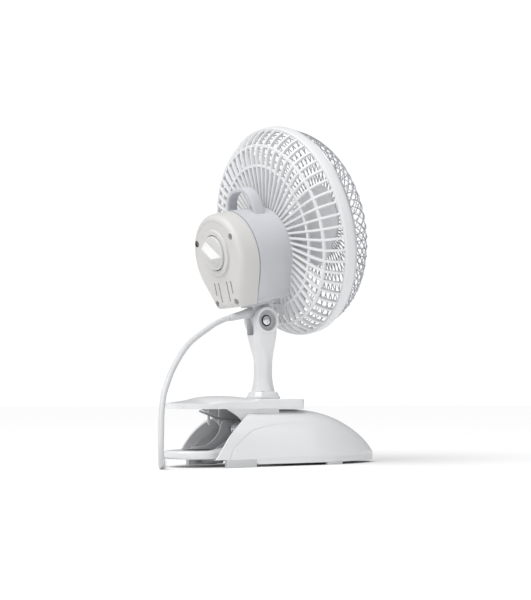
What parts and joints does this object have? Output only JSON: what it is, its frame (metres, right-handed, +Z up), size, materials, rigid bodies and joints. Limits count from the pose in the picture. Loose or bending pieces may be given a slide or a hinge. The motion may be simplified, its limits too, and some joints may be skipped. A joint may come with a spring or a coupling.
{
  "type": "desk clip fan",
  "caption": "Small round-headed desk fan with a tilting motor head on a short post, standing on a spring clamp with a domed jaw and two squeeze handles.",
  "frame": {"origin": "middle of the footprint at floor level, cord left out", "axes": "+X the way the air blows and the clamp jaws point, +Y the fan's left, +Z up"},
  "size_m": [0.2971, 0.272, 0.2881],
  "materials": {
    "white_gloss": "gloss",
    "housing_grey": "satin",
    "cover_white": "satin",
    "steel": "plated",
    "guard_wire": "satin",
    "lamination": "matte",
    "copper": "varnished",
    "bronze": "sintered",
    "rubber_pad": "matte",
    "switch_black": "matte",
    "cord_white": "satin"
  },
  "bodies": {
    "base": {"upper_lever": "white_gloss", "dome_shell": "white_gloss", "dome_foot_1": "rubber_pad", "dome_foot_2": "rubber_pad", "dome_foot_3": "rubber_pad", "dome_foot_4": "rubber_pad", "post": "white_gloss", "post_collar": "white_gloss", "post_screw": "steel", "tilt_bolt": "steel", "tilt_nut": "steel", "clamp_pin": "steel", "clamp_spring": "steel", "cord_run": "cord_white", "cord_coil": "cord_white", "plug": "cord_white"},
    "lower_clamp": {"lower_lever": "white_gloss", "lower_jaw_pad": "rubber_pad", "lever_foot_1": "rubber_pad", "lever_foot_2": "rubber_pad"},
    "head": {"motor_housing": "housing_grey", "rear_cover": "cover_white", "cover_screw_1": "steel", "cover_screw_2": "steel", "cover_screw_3": "steel", "cover_screw_4": "steel", "carry_handle": "housing_grey", "back_grille": "white_gloss", "front_guard": "guard_wire", "guard_badge": "white_gloss", "stator_core": "lamination", "stator_coil": "copper", "motor_bracket_front": "steel", "motor_bracket_rear": "steel", "bearing_front": "bronze", "bearing_rear": "bronze", "rotary_switch": "switch_black", "tilt_knuckle": "housing_grey", "cord_gland": "housing_grey"},
    "rotor": {"fan_blade": "white_gloss", "rotor_shaft": "steel", "rotor_core": "lamination"},
    "knob": {"speed_knob": "white_gloss"}
  },
  "joints": [
    {"name": "head_tilt", "type": "hinge", "parent": "base", "child": "head", "pos_m": [-0.0132, 0, 0.121], "axis": [0, -1, 0], "range_deg": [-30, 30], "deforming": ["cord_run"]},
    {"name": "fan_spin", "type": "hinge", "parent": "head", "child": "rotor", "pos_m": [-0.03068, 0, 0.18858], "axis": [0.9681, 0, 0.2504], "continuous": true},
    {"name": "knob_turn", "type": "hinge", "parent": "head", "child": "knob", "pos_m": [-0.02942, 0, 0.18374], "axis": [0.9681, 0, 0.2504], "range_deg": [-45, 45]},
    {"name": "clamp_open", "type": "hinge", "parent": "base", "child": "lower_clamp", "pos_m": [-0.033, 0, 0.03], "axis": [0, 1, 0], "range_deg": [0, 22], "stiffness_Nm_per_rad": 3, "springref_deg": -20.05, "deforming": ["clamp_spring"]}
  ]
}
